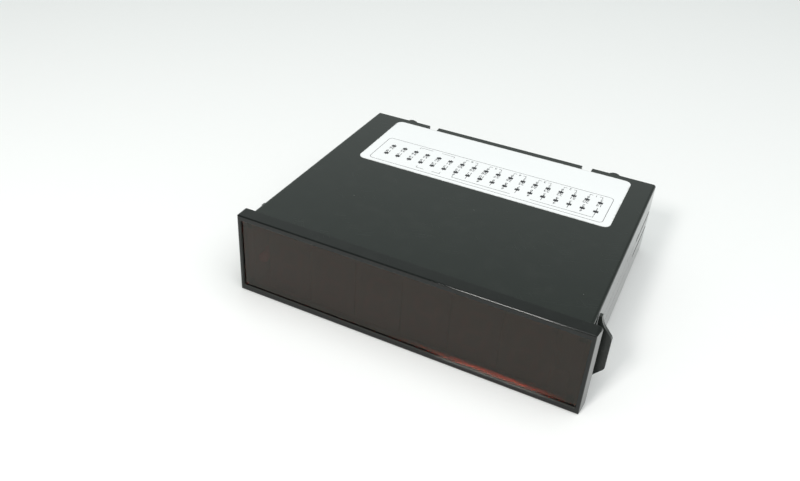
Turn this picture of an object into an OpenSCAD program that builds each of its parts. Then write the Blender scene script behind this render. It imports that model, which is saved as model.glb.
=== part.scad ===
// Digital panel meter, 96 x 24 mm format.
// Origin: centre of the panel cut-out, on the plane where the bezel seats against the panel.
// +X to the right seen from the front, +Y to the rear, +Z up. Millimetres.

/* [Bezel] */
// Width of the front bezel
bezel_w = 96; // [96:0.5:104]
// Height of the front bezel
bezel_h = 24; // [23.6:0.2:30]
// Depth of the bezel in front of the panel
bezel_t = 4; // [3.4:0.1:6]
// Width of the bezel's rim around the filter
bezel_border = 1.4; // [1:0.1:2]
// Corner radius of the bezel, seen from the front
bezel_corner_r = 1; // [0.6:0.1:2]
// Radius along the bezel's front edges
bezel_edge_r = 0.35; // [0.2:0.05:0.6]
// Draft of the bezel's two short sides in degrees
bezel_draft = 7; // [1:0.5:10]

/* [Case] */
// Width of the case behind the bezel
case_w = 91.5; // [91:0.25:94]
// Height of the case behind the bezel
case_h = 22.4; // [22.2:0.1:23.2]
// Length of the case behind the bezel
case_l = 72.4; // [72:0.2:90]
// Thickness of the side walls
side_wall = 2.3; // [2:0.1:2.4]
// Thickness of the top and bottom walls
flat_wall = 1.9; // [1.6:0.1:2]
// Corner radius of the case
case_corner_r = 0.8; // [0.4:0.1:1.4]
// Width of the two notches in the rear edge of the top wall
rim_notch_w = 3.1; // [2:0.1:6]
// Depth of the two notches
rim_notch_d = 2.4; // [1:0.1:4]
// Distance of each notch from the middle
rim_notch_x = 25.25; // [15:0.25:28]

/* [Filter] */
// Depth of the filter's face behind the bezel's front
filter_recess = 0.6; // [0.3:0.1:1.2]
// Thickness of the filter
filter_t = 1.2; // [1:0.1:2.2]
// Clearance around the filter
filter_gap = 0.1; // [0.05:0.05:0.3]
// Height of the pads under the filter's corners
filter_pad_h = 0.1; // [0.05:0.05:0.3]

/* [Mounting clips] */
// Depth of the dovetail way in each side wall
way_depth = 1.2; // [0.9:0.05:1.4]
// Height of the way at its mouth
way_mouth = 6; // [4:0.2:8]
// Height of the way at its floor
way_floor = 7.4; // [7:0.2:9]
// Running clearance of the clip in its way
clip_fit = 0.08; // [0.05:0.01:0.1]
// Distance from the panel seat to the clip's face at rest
clip_rest = 5.8; // [4.4:0.2:12]
// Length of the clip's full-height tail
clip_tail_l = 47.6; // [30:0.2:54]
// Height of the slimmer bar that leads the tail into its way
clip_lead_h = 4.2; // [3.4:0.2:5]
// Thickness of the clip's flange
flange_t = 1.2; // [1:0.1:3]
// Height of the clip's flange
flange_h = 20.3; // [16:0.1:22]
// Reach of the flange from the case wall
flange_reach = 4.1; // [3:0.1:6]
// Height of the flange's full-reach part
flange_land = 9.3; // [7:0.1:12]

/* [Display] */
// Distance from digit to digit
digit_pitch = 13; // [12.7:0.05:13.1]
// Width of a digit module
digit_w = 12.6; // [11:0.1:12.6]
// Height of a digit module
digit_h = 17.6; // [15:0.1:17.8]
// Depth of a digit module
digit_d = 8; // [6:0.1:9]
// Width of the figure, over its strokes
glyph_w = 7.2; // [6:0.1:7.6]
// Height of the figure, over its strokes
glyph_h = 12.7; // [10:0.1:13]
// Width of a stroke
stroke = 1.5; // [1:0.1:1.8]
// Slant of the figures in degrees
slant = 8; // [0:1:10]
// Depth of the segment pockets
segment_d = 0.8; // [0.4:0.1:2]
// Gap between the filter and the faces of the digits
display_gap = 0.2; // [0.1:0.1:0.6]
// Radius of the polarity lamp
led_r = 1.5; // [1:0.1:1.5]
// Length of the polarity lamp's body
led_l = 5.3; // [4:0.1:6]
// Gap between the polarity lamp's foot and the first digit
led_gap = 0.9; // [0.2:0.1:1]
// Height of the polarity lamp above the middle
led_z = -1; // [-5:0.5:5]

/* [Boards] */
// Thickness of the circuit boards
board_t = 1.6; // [1.2:0.2:1.6]
// Clearance of the boards in the case
board_gap = 0.15; // [0.1:0.05:0.25]
// Length of the card-edge tongue and the screw bosses beside it
tongue_l = 14.4; // [13.4:0.2:15]
// Distance that the card edge stops short of the case's rear edge
edge_recess = 0.4; // [0:0.1:4]
// Bevel at the card edge
edge_bevel = 0.4; // [0.2:0.1:0.5]
// Number of contact positions on the card edge
edge_ways = 18; // [10:1:18]
// Distance from contact to contact
edge_pitch = 3.96; // [3.96:0.01:3.97]
// Width of a contact
contact_w = 2.4; // [1.5:0.1:3]
// Length of a contact
contact_l = 9; // [6:0.5:11]
// Thickness of a contact
contact_t = 0.08; // [0.05:0.01:0.15]
// Depth of the board guides
guide_d = 1.5; // [1:0.1:1.8]
// Thickness of the board guides
guide_t = 1.2; // [0.8:0.1:1.6]
// Running gap of the board in its guides
guide_gap = 0.1; // [0.05:0.05:0.2]

/* [Rear] */
// Thickness of the rear cover
cover_t = 2; // [1.5:0.1:2.5]
// Clearance around the rear cover
cover_gap = 0.1; // [0.05:0.05:0.2]
// Width of the opening for the card-edge connector
port_w = 75; // [72.5:0.5:76]
// Height of the opening for the card-edge connector
port_h = 11; // [10.8:0.1:11]
// Distance between the two connector screws
connector_span = 84; // [83.6:0.1:84.2]
// Pilot radius for the connector screws
connector_pilot_r = 1.25; // [1:0.05:1.3]
// Depth of the connector pilots
connector_pilot_l = 11; // [8:0.5:12]
// Distance between the two cover screws
cover_screw_span = 66.8; // [64:0.2:68]
// Radius of a cover screw's shank
screw_shank_r = 1.08; // [0.9:0.02:1.2]
// Radius of a cover screw's head
screw_head_r = 2.8; // [2.5:0.05:2.9]
// Height of a cover screw's head
screw_head_h = 1.9; // [1.4:0.1:2.4]
// Length of a cover screw under its head
screw_l = 12; // [8:0.5:13]
// Radius of the screw bosses
boss_r = 2.8; // [2.4:0.1:2.8]
// Width of the cover's lugs
lug_w = 6; // [4:0.5:8]
// Reach of the cover's lugs into the bottom wall
lug_reach = 1; // [0.6:0.1:1.1]
// Thickness of the cover's lugs
lug_t = 1.1; // [0.8:0.1:1.2]

/* [Label] */
// Width of the label
label_w = 76; // [40:1:80]
// Length of the label from front to rear
label_l = 28.2; // [15:0.2:40]
// Corner radius of the label
label_r = 2; // [0.5:0.5:4]
// Thickness of the label
label_t = 0.12; // [0.05:0.01:0.2]
// Distance of the label's middle from the case's middle
label_x = 1.15; // [-3:0.05:3]
// Distance from the case's rear edge to the label
label_rear = 2.4; // [2:0.1:8]

/* [Electronics] */
// Side of the strip that holds the pins between the boards
strip_w = 2.5; // [2:0.1:3]
// Gap between the strip and the display board
strip_gap = 0.6; // [0.4:0.1:1]
// Side of a square pin
pin_w = 0.64; // [0.5:0.02:0.8]
// Gap between a chip's body and the board
chip_standoff = 0.5; // [0.3:0.1:1]
// Height of a chip's body
chip_h = 3.6; // [3:0.1:4]
// Distance from pin to pin on a chip
pin_pitch = 2.54; // [2.54:0.01:2.55]
// Distance between the pin rows of a chip
pin_row = 7.62; // [7.62:0.01:7.64]
// Width of a chip's pin
chip_pin_w = 0.5; // [0.4:0.05:0.6]
// Thickness of a chip's pin
chip_pin_t = 0.25; // [0.2:0.05:0.3]
// Height of a resistor network's body
network_h = 4.8; // [4:0.1:6]
// Thickness of a resistor network's body
network_t = 2.4; // [2:0.1:2.6]
// Distance between the input networks, from front to rear
network_step = 4.5; // [3:0.1:5]
// Distance of the point driver chip from the middle
point_driver_x = -27; // [-30:0.5:-24]
// Distance of the protection diode from the middle
diode_x = 23; // [15:0.5:27]
// Diameter of the diode's body
diode_d = 2.7; // [2:0.1:3.5]
// Length of the diode's body
diode_l = 5.2; // [4:0.1:6]
// Distance of the supply capacitor from the middle
cap_x = 34; // [32:0.5:35]
// Diameter of the supply capacitor
cap_d = 8; // [5:0.1:8.2]
// Length of the supply capacitor
cap_l = 11.5; // [8:0.5:12]

/* [Hidden] */
$fn = 48;

cavity_w = case_w - 2 * side_wall;
cavity_h = case_h - 2 * flat_wall;
pocket_w = bezel_w - 2 * bezel_border;
pocket_h = bezel_h - 2 * bezel_border;
filter_rear_y = filter_recess + filter_t - bezel_t;
// The filter's ledge, where the case's tube begins.
ledge_y = filter_rear_y + filter_pad_h;
digit_face_y = ledge_y + display_gap;
display_y = digit_face_y + digit_d;
main_y = display_y + board_t;
board_top = board_t / 2;
edge_y = case_l - edge_recess;
tongue_w = edge_ways * edge_pitch;
board_rear = case_l - tongue_l;
cover_y = case_l - cover_t;
cover_screw_z = case_h / 2 - screw_head_r;
clear_hole_r = screw_shank_r + 0.4;
pilot_fit = 0.02;
pocket_corner_r = 0.5;
// A cut runs past the face that it starts from.
over = 1;
wall_x = case_w / 2;
// At rest the clip ends at the case's rear edge.
clip_l = case_l - clip_rest;

// One decoder chip and one resistor network serve each digit.
digit_count = 6;
// The parts on the main board stand in two rows with equal gaps.
chip_pins = 16;
chip_l = chip_pins / 2 * pin_pitch;
strip_rear = main_y + strip_gap + strip_w;
cap_lead_l = 1.8;
rear_d = cap_l + cap_lead_l;
row_gap = (board_rear - strip_rear - chip_l - rear_d) / 3;
chip_row = strip_rear + row_gap + chip_l / 2;
rear_row = chip_row + chip_l / 2 + row_gap + rear_d / 2;

module rounded_rect(w, h, r) {
    square([w - 2 * r, h], center = true);
    square([w, h - 2 * r], center = true);
    for (sx = [-1, 1], sy = [-1, 1])
        translate([sx * (w / 2 - r), sy * (h / 2 - r)])
            circle(r);
}

// Extrudes a flat shape, drawn as X and Z, from y0 to y1.
module along_y(y0, y1) {
    translate([0, y1, 0])
        rotate([90, 0, 0])
            linear_extrude(y1 - y0)
                children();
}

// A cylinder with its axis along Y.
module rod_y(x, z, r, y0, y1) {
    translate([x, y1, z])
        rotate([90, 0, 0])
            cylinder(r = r, h = y1 - y0);
}

module block(x0, x1, y0, y1, z0, z1) {
    translate([x0, y0, z0])
        cube([x1 - x0, y1 - y0, z1 - z0]);
}

module both_sides() {
    children();
    mirror([1, 0, 0])
        children();
}

// Depth profile of the bezel: full span at the panel, drafted sides, round front edges.
module bezel_profile(span, draft) {
    mid_y = bezel_edge_r - bezel_t;
    mid_x = span / 2 + mid_y * tan(draft) - bezel_edge_r / cos(draft);
    // Where each round runs into its side.
    end_x = mid_x + bezel_edge_r * cos(draft);
    end_y = mid_y - bezel_edge_r * sin(draft);
    polygon([[-span / 2, 0], [-end_x, end_y], [-mid_x, -bezel_t], [mid_x, -bezel_t],
        [end_x, end_y], [span / 2, 0]]);
    for (s = [-1, 1])
        translate([s * mid_x, mid_y])
            circle(bezel_edge_r);
}

module bezel_block() {
    intersection() {
        along_y(-bezel_t, 0)
            rounded_rect(bezel_w, bezel_h, bezel_corner_r);
        translate([0, 0, -bezel_h / 2 - over])
            linear_extrude(bezel_h + 2 * over)
                bezel_profile(bezel_w, bezel_draft);
        translate([-bezel_w / 2 - over, 0, 0])
            rotate([0, 90, 0])
                linear_extrude(bezel_w + 2 * over)
                    bezel_profile(bezel_h, 0);
    }
}

// Section of the dovetail way in the right-hand wall; fit > 0 gives the clip's own section.
module dovetail(fit, mouth_x) {
    floor_x = wall_x - way_depth + fit;
    lean = (way_floor - way_mouth) / 2 / way_depth;
    mouth_z = way_mouth / 2 - fit - lean * (mouth_x - wall_x);
    floor_z = way_floor / 2 - fit - lean * fit;
    polygon([[mouth_x, -mouth_z], [mouth_x, mouth_z], [floor_x, floor_z], [floor_x, -floor_z]]);
}

module board_guides() {
    for (s = [-1, 1])
        block(cavity_w / 2 - guide_d, cavity_w / 2 + over, main_y + board_gap, board_rear,
            s * (board_top + guide_gap + guide_t / 2) - guide_t / 2,
            s * (board_top + guide_gap + guide_t / 2) + guide_t / 2);
}

module case_shell() {
    difference() {
        union() {
            bezel_block();
            along_y(-over, case_l)
                rounded_rect(case_w, case_h, case_corner_r);
        }
        along_y(-bezel_t - over, ledge_y)
            rounded_rect(pocket_w, pocket_h, pocket_corner_r);
        along_y(ledge_y - over, case_l + over)
            rounded_rect(cavity_w, cavity_h, pocket_corner_r);
    }
}

// Raised pads on the ledge, which carry the filter at its corners.
module filter_pads() {
    inset = 0.4;
    pad_l = 2;
    pad_z = pocket_h / 2 - filter_gap - inset;
    for (s = [0, 1])
        mirror([0, 0, s])
            block(cavity_w / 2 + inset, pocket_w / 2 - filter_gap - inset, filter_rear_y,
                ledge_y + over / 2, pad_z - pad_l, pad_z);
}

module connector_boss() {
    intersection() {
        rod_y(connector_span / 2, 0, boss_r, board_rear, cover_y);
        block(0, wall_x - side_wall / 2, board_rear, cover_y, -boss_r, boss_r);
    }
}

module cover_boss() {
    intersection() {
        rod_y(cover_screw_span / 2, cover_screw_z, boss_r, board_rear, cover_y);
        block(0, wall_x, board_rear, cover_y, 0, case_h / 2 - flat_wall / 2);
    }
}

module case() {
    color([0.11, 0.12, 0.12])
        difference() {
            union() {
                case_shell();
                both_sides() {
                    filter_pads();
                    board_guides();
                    connector_boss();
                    cover_boss();
                }
            }
            both_sides() {
                // Dovetail way for the clip, open at the rear.
                along_y(0, case_l + over)
                    dovetail(0, wall_x + over);
                // Pilot for the connector screw.
                rod_y(connector_span / 2, 0, connector_pilot_r, cover_y - connector_pilot_l,
                    case_l + over);
                // Pilot for the cover screw, with its clearance past the cover.
                rod_y(cover_screw_span / 2, cover_screw_z, screw_shank_r + pilot_fit,
                    case_l - screw_l - 0.5, cover_y + over);
                rod_y(cover_screw_span / 2, cover_screw_z, clear_hole_r, cover_y, case_l + over);
                // Notch in the rear edge of the top wall.
                block(rim_notch_x - rim_notch_w / 2, rim_notch_x + rim_notch_w / 2,
                    case_l - rim_notch_d, case_l + over, cavity_h / 2 - over, case_h / 2 + over);
                // Socket in the bottom wall for the cover's lug.
                block(rim_notch_x - lug_w / 2 - cover_gap, rim_notch_x + lug_w / 2 + cover_gap,
                    cover_y - cover_gap, cover_y + lug_t + cover_gap,
                    -cavity_h / 2 - lug_reach - cover_gap, -cavity_h / 2 + over);
            }
        }
}

module filter_window() {
    color([0.2, 0.05, 0.04, 0.8])
        along_y(filter_rear_y - filter_t, filter_rear_y)
            rounded_rect(pocket_w - 2 * filter_gap, pocket_h - 2 * filter_gap, pocket_corner_r);
}

module rear_cover() {
    color([0.13, 0.14, 0.14])
        difference() {
            union() {
                along_y(cover_y, case_l)
                    rounded_rect(cavity_w - 2 * cover_gap, cavity_h - 2 * cover_gap,
                        pocket_corner_r);
                both_sides()
                    block(rim_notch_x - lug_w / 2, rim_notch_x + lug_w / 2, cover_y,
                        cover_y + lug_t, -cavity_h / 2 - lug_reach, -cavity_h / 2 + over);
            }
            along_y(cover_y - over, case_l + over)
                rounded_rect(port_w, port_h, pocket_corner_r);
            both_sides() {
                rod_y(cover_screw_span / 2, cover_screw_z, clear_hole_r, cover_y - over,
                    case_l + over);
                // Slot for the connector screw, open to the side.
                rod_y(connector_span / 2, 0, connector_pilot_r + 0.4, cover_y - over,
                    case_l + over);
                block(connector_span / 2, wall_x, cover_y - over, case_l + over,
                    -connector_pilot_r - 0.4, connector_pilot_r + 0.4);
            }
        }
}

module pan_head_screw() {
    recess_w = 0.6;
    recess_l = screw_head_r * 1.1;
    recess_d = screw_head_h * 0.6;
    tip_l = 1.5;
    difference() {
        union() {
            intersection() {
                cylinder(r = screw_head_r, h = screw_head_h);
                // The dome meets the head's side at half its height.
                dome_r = (screw_head_r * screw_head_r + pow(screw_head_h / 2, 2)) / screw_head_h;
                translate([0, 0, screw_head_h - dome_r])
                    sphere(r = dome_r);
            }
            translate([0, 0, tip_l - screw_l])
                cylinder(r = screw_shank_r, h = screw_l - tip_l);
            translate([0, 0, -screw_l])
                cylinder(r1 = screw_shank_r / 3, r2 = screw_shank_r, h = tip_l);
        }
        for (turn = [0, 90])
            rotate([0, 0, turn])
                translate([-recess_l / 2, -recess_w / 2, screw_head_h - recess_d])
                    cube([recess_l, recess_w, screw_head_h]);
    }
}

module cover_screws() {
    color([0.1, 0.1, 0.1])
        for (s = [-1, 1])
            translate([s * cover_screw_span / 2, case_l, cover_screw_z])
                rotate([-90, 45, 0])
                    pan_head_screw();
}

module label() {
    color("white")
        translate([label_x, case_l - label_rear - label_l / 2, case_h / 2])
            linear_extrude(label_t)
                rounded_rect(label_w, label_l, label_r);
}

// Outline of the right-hand clip's flange, narrowing in a hollow curve to its two ends.
module flange_outline() {
    root_x = wall_x + clip_fit;
    tip_x = wall_x + flange_reach;
    end_w = 0.2 * flange_reach;
    neck_w = 0.55 * flange_reach;
    neck_z = flange_land / 2 + 0.52 * flange_reach;
    tip_cut = 0.3;
    end = [wall_x + end_w, flange_h / 2];
    neck = [wall_x + neck_w, neck_z];
    chord = neck - end;
    scoop_r = 6;
    reach = sqrt(scoop_r * scoop_r - chord * chord / 4);
    scoop = (end + neck) / 2 + [-chord[1], chord[0]] / norm(chord) * reach;
    difference() {
        polygon([
            [root_x, -end[1]], [end[0], -end[1]], [neck[0], -neck[1]],
            [tip_x - tip_cut, -flange_land / 2 - tip_cut], [tip_x, -flange_land / 2 + tip_cut],
            [tip_x, flange_land / 2 - tip_cut], [tip_x - tip_cut, flange_land / 2 + tip_cut],
            [neck[0], neck[1]], [end[0], end[1]], [root_x, end[1]]]);
        for (s = [-1, 1])
            translate([scoop[0], s * scoop[1]])
                circle(scoop_r);
    }
}

// The right-hand clip at rest.
module mounting_clip() {
    gusset_t = 1.2;
    gusset_l = 5;
    gusset_z = way_mouth / 2 - clip_fit - gusset_t;
    union() {
        along_y(clip_rest, clip_rest + flange_t)
            flange_outline();
        along_y(clip_rest, clip_rest + clip_tail_l)
            dovetail(clip_fit, wall_x);
        block(wall_x - way_depth + clip_fit, wall_x, clip_rest + flange_t, clip_rest + clip_l,
            -clip_lead_h / 2, clip_lead_h / 2);
        // Root that joins the flange to the tail through the mouth of the way.
        block(wall_x - way_depth / 2, wall_x + flange_reach / 2, clip_rest, clip_rest + flange_t,
            -way_mouth / 2 + clip_fit, way_mouth / 2 - clip_fit);
        for (s = [0, 1])
            mirror([0, 0, s])
                translate([0, 0, gusset_z])
                    linear_extrude(gusset_t)
                        polygon([
                            [wall_x - way_depth / 2, clip_rest + flange_t / 2],
                            [wall_x + flange_reach * 0.8, clip_rest + flange_t / 2],
                            [wall_x + flange_reach * 0.8, clip_rest + flange_t],
                            [wall_x, clip_rest + flange_t + gusset_l],
                            [wall_x - way_depth / 2, clip_rest + flange_t + gusset_l]]);
    }
}

module mounting_clip_right() {
    color([0.14, 0.14, 0.14])
        mounting_clip();
}

module mounting_clip_left() {
    color([0.14, 0.14, 0.14])
        mirror([1, 0, 0])
            mounting_clip();
}

// The seven strokes of a figure: place in half figures, and whether the stroke stands upright.
STROKES = [[0, 1, false], [0, 0, false], [0, -1, false],
    [-1, 0.5, true], [1, 0.5, true], [-1, -0.5, true], [1, -0.5, true]];

function lean(p) = [p[0] + p[1] * tan(slant), p[1]];

function hexagon(half, w) = [[-half, 0], [w / 2 - half, w / 2], [half - w / 2, w / 2],
    [half, 0], [half - w / 2, -w / 2], [w / 2 - half, -w / 2]];

// All strokes of one figure and its point; slack > 0 makes them narrower.
module figure(slack) {
    across = (glyph_w - stroke) / 2;
    up = (glyph_h - stroke) / 2;
    joint_gap = 0.2;
    point_r = stroke / 2;
    for (bar = STROKES) {
        half = (bar[2] ? up / 2 : across) - joint_gap - slack;
        place = [bar[0] * across, bar[1] * up];
        polygon([for (p = hexagon(half, stroke - 2 * slack))
            lean(place + (bar[2] ? [p[1], p[0]] : p))]);
    }
    translate([across + stroke + joint_gap, -up])
        circle(point_r - slack);
}

function digit_x(i) = (i - (digit_count - 1) / 2) * digit_pitch;

module digit_module(i) {
    color([0.3, 0.3, 0.29])
        translate([digit_x(i), 0, 0])
            difference() {
                block(-digit_w / 2, digit_w / 2, digit_face_y, display_y, -digit_h / 2,
                    digit_h / 2);
                along_y(digit_face_y - over, digit_face_y + segment_d)
                    figure(0);
            }
}

module digit_segments() {
    color([0.45, 0.1, 0.08])
        for (i = [0 : digit_count - 1])
            translate([digit_x(i), 0, 0])
                along_y(digit_face_y, digit_face_y + segment_d)
                    figure(0.02);
}

module polarity_led() {
    lead_w = 0.5;
    flange_r = led_r + 0.3;
    base_l = 1;
    led_x = (digit_count - 1) / 2 * digit_pitch + digit_w / 2 + led_gap + flange_r;
    color([0.8, 0.08, 0.05])
        translate([-led_x, digit_face_y, led_z]) {
            rotate([-90, 0, 0]) {
                translate([0, 0, led_r])
                    sphere(r = led_r);
                translate([0, 0, led_r])
                    cylinder(r = led_r, h = led_l - led_r);
                translate([0, 0, led_l - base_l])
                    cylinder(r = flange_r, h = base_l);
            }
            for (s = [-1, 1])
                block(s * led_r / 2 - lead_w / 2, s * led_r / 2 + lead_w / 2, led_l - base_l / 2,
                    digit_d, -lead_w / 2, lead_w / 2);
        }
}

module display_board() {
    color([0.1, 0.32, 0.18])
        block(-cavity_w / 2 + board_gap, cavity_w / 2 - board_gap, display_y, main_y,
            -cavity_h / 2 + board_gap, cavity_h / 2 - board_gap);
}

module main_board() {
    color([0.1, 0.32, 0.18])
        difference() {
            union() {
                block(-cavity_w / 2 + board_gap, cavity_w / 2 - board_gap, main_y, board_rear,
                    -board_top, board_top);
                block(-tongue_w / 2, tongue_w / 2, board_rear - over, edge_y, -board_top,
                    board_top);
            }
            // Bevels that lead the card edge into its connector.
            for (s = [0, 1])
                mirror([0, 0, s])
                    translate([-tongue_w / 2 - over, edge_y, board_top])
                        rotate([45, 0, 0])
                            translate([0, -edge_bevel, -edge_bevel / sqrt(2)])
                                cube([tongue_w + 2 * over, 2 * edge_bevel, 2 * edge_bevel]);
        }
}

module edge_contacts() {
    color([0.83, 0.68, 0.3])
        for (i = [0 : edge_ways - 1], s = [0, 1])
            mirror([0, 0, s])
                translate([(i - (edge_ways - 1) / 2) * edge_pitch - contact_w / 2,
                        edge_y - edge_bevel - 0.2 - contact_l, board_top])
                    cube([contact_w, contact_l, contact_t]);
}

// A row of pins that joins the two boards, in its insulating strip.
module board_link_header() {
    pins = 22;
    strip_y = main_y + strip_gap;
    color([0.12, 0.12, 0.13]) {
        block(-pins * pin_pitch / 2, pins * pin_pitch / 2, strip_y, strip_rear, board_top,
            board_top + strip_w);
        for (i = [0 : pins - 1])
            translate([(i - (pins - 1) / 2) * pin_pitch, 0, board_top + strip_w / 2])
                block(-pin_w / 2, pin_w / 2, main_y, strip_y + pin_w, -pin_w / 2, pin_w / 2);
    }
}

// A dual in-line chip standing on the board, its length along X.
module chip(pins) {
    body_w = pin_row - 1.2;
    body_l = pins / 2 * pin_pitch;
    shoulder_z = chip_standoff + chip_h / 2;
    shoulder_l = (pin_row - body_w) / 2 + over / 2;
    mark_r = 0.8;
    mark_d = 0.3;
    color([0.16, 0.16, 0.17]) {
        difference() {
            block(-body_l / 2, body_l / 2, -body_w / 2, body_w / 2, chip_standoff,
                chip_standoff + chip_h);
            // Half-round mark at the pin 1 end.
            translate([-body_l / 2, 0, chip_standoff + chip_h - mark_d])
                cylinder(r = mark_r, h = over);
        }
        for (i = [0 : pins / 2 - 1], s = [0, 1])
            mirror([0, s, 0])
                translate([(i - (pins / 2 - 1) / 2) * pin_pitch, pin_row / 2, 0]) {
                    block(-chip_pin_w / 2, chip_pin_w / 2, -chip_pin_t / 2, chip_pin_t / 2, 0,
                        shoulder_z);
                    block(-chip_pin_w, chip_pin_w, -shoulder_l, chip_pin_t / 2,
                        shoulder_z - chip_pin_t, shoulder_z);
                }
    }
}

// The decoder and driver of one digit, in line with it.
module decoder_chip(i) {
    translate([digit_x(i), chip_row, board_top])
        rotate([0, 0, 90])
            chip(chip_pins);
}

module point_driver_chip() {
    translate([point_driver_x, rear_row, board_top])
        chip(chip_pins);
}

// A row of resistors in one upright body, its length along X.
module resistor_network(pins) {
    body_l = pins * pin_pitch;
    lift = 0.8;
    color([0.55, 0.3, 0.12]) {
        block(-body_l / 2, body_l / 2, -network_t / 2, network_t / 2, lift, lift + network_h);
        for (k = [0 : pins - 1])
            translate([(k - (pins - 1) / 2) * pin_pitch, 0, 0])
                block(-chip_pin_w / 2, chip_pin_w / 2, -chip_pin_t / 2, chip_pin_t / 2, 0,
                    lift + over / 2);
    }
}

// The series resistors of one digit, beside its decoder.
module segment_resistors(i) {
    translate([digit_x(i) + digit_pitch / 2, chip_row, board_top])
        rotate([0, 0, 90])
            resistor_network(8);
}

// Resistors that hold the inputs steady, near the card edge.
module input_resistors(i) {
    translate([0, rear_row + (i - 1) * network_step, board_top])
        resistor_network(9);
}

// An axial diode lying along Y, its two leads bent down to the board.
module protection_diode() {
    lead_w = 0.7;
    lead_l = 2;
    reach = diode_l / 2 + lead_l;
    color([0.14, 0.14, 0.15])
        translate([diode_x, rear_row, board_top + diode_d / 2]) {
            rod_y(0, 0, diode_d / 2, -diode_l / 2, diode_l / 2);
            block(-lead_w / 2, lead_w / 2, -reach, reach, -lead_w / 2, lead_w / 2);
            for (s = [0, 1])
                mirror([0, s, 0])
                    block(-lead_w / 2, lead_w / 2, reach - lead_w, reach, -diode_d / 2,
                        lead_w / 2);
        }
}

// An electrolytic capacitor lying along Y, crimped near its leads.
module supply_capacitor() {
    groove_d = 0.4;
    groove_w = 0.5;
    groove_y = cap_l * 0.85;
    edge = 0.3;
    lead_w = 0.6;
    lead_x = cap_d * 0.22;
    r = cap_d / 2;
    color([0.12, 0.16, 0.3])
        translate([cap_x, rear_row + cap_lead_l / 2, board_top + r]) {
            translate([0, cap_l / 2, 0])
                rotate([90, 0, 0])
                    rotate_extrude()
                        polygon([[0, 0], [r - edge, 0], [r, edge], [r, groove_y - groove_w],
                            [r - groove_d, groove_y], [r, groove_y + groove_w],
                            [r, cap_l - edge], [r - edge, cap_l], [0, cap_l]]);
            for (s = [-1, 1])
                translate([s * lead_x, -cap_l / 2, 0]) {
                    block(-lead_w / 2, lead_w / 2, -cap_lead_l, over, -lead_w / 2, lead_w / 2);
                    block(-lead_w / 2, lead_w / 2, -cap_lead_l, lead_w - cap_lead_l, -r,
                        lead_w / 2);
                }
        }
}

case();
filter_window();
rear_cover();
cover_screws();
label();
mounting_clip_left();
mounting_clip_right();
display_board();
main_board();
edge_contacts();
for (i = [0 : 5])
    digit_module(i);
digit_segments();
polarity_led();
board_link_header();
for (i = [0 : 5])
    decoder_chip(i);
for (i = [0 : 5])
    segment_resistors(i);
for (i = [0 : 2])
    input_resistors(i);
point_driver_chip();
protection_diode();
supply_capacitor();
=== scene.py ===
import logging
import math
from collections.abc import Callable, Mapping, Sequence
from dataclasses import dataclass
from enum import Enum
from typing import Any

import bpy
from mathutils import Matrix, Vector


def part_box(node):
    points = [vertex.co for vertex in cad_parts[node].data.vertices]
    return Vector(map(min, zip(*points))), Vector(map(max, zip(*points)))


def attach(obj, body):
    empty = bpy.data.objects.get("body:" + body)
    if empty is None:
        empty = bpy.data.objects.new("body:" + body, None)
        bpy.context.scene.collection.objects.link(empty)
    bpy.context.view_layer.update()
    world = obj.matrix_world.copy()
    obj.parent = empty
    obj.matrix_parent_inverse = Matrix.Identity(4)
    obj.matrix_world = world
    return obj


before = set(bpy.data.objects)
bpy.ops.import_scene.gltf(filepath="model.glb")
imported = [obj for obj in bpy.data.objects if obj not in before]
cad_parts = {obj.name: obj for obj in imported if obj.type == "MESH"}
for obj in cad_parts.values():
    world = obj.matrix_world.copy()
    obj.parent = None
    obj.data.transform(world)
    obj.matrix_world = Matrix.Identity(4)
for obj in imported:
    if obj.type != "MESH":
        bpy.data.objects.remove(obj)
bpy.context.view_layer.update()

# A millimetre in metres.
MM = 0.001
# Places closer than this many millimetres count as the same.
NEAR = 0.01
# How far past its end a marked stretch of a part runs, in millimetres.
PAST = 1.0
LOG = logging.getLogger("panel_meter")

Span = tuple[float, float]
Place = tuple[float, float, float]
Colour = tuple[float, float, float]


class Axis(Enum):
    """A direction of the meter: across its front, from front to rear, and upwards."""

    ACROSS = 0
    REARWARD = 1
    UPWARD = 2


# ---- shader maths


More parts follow.
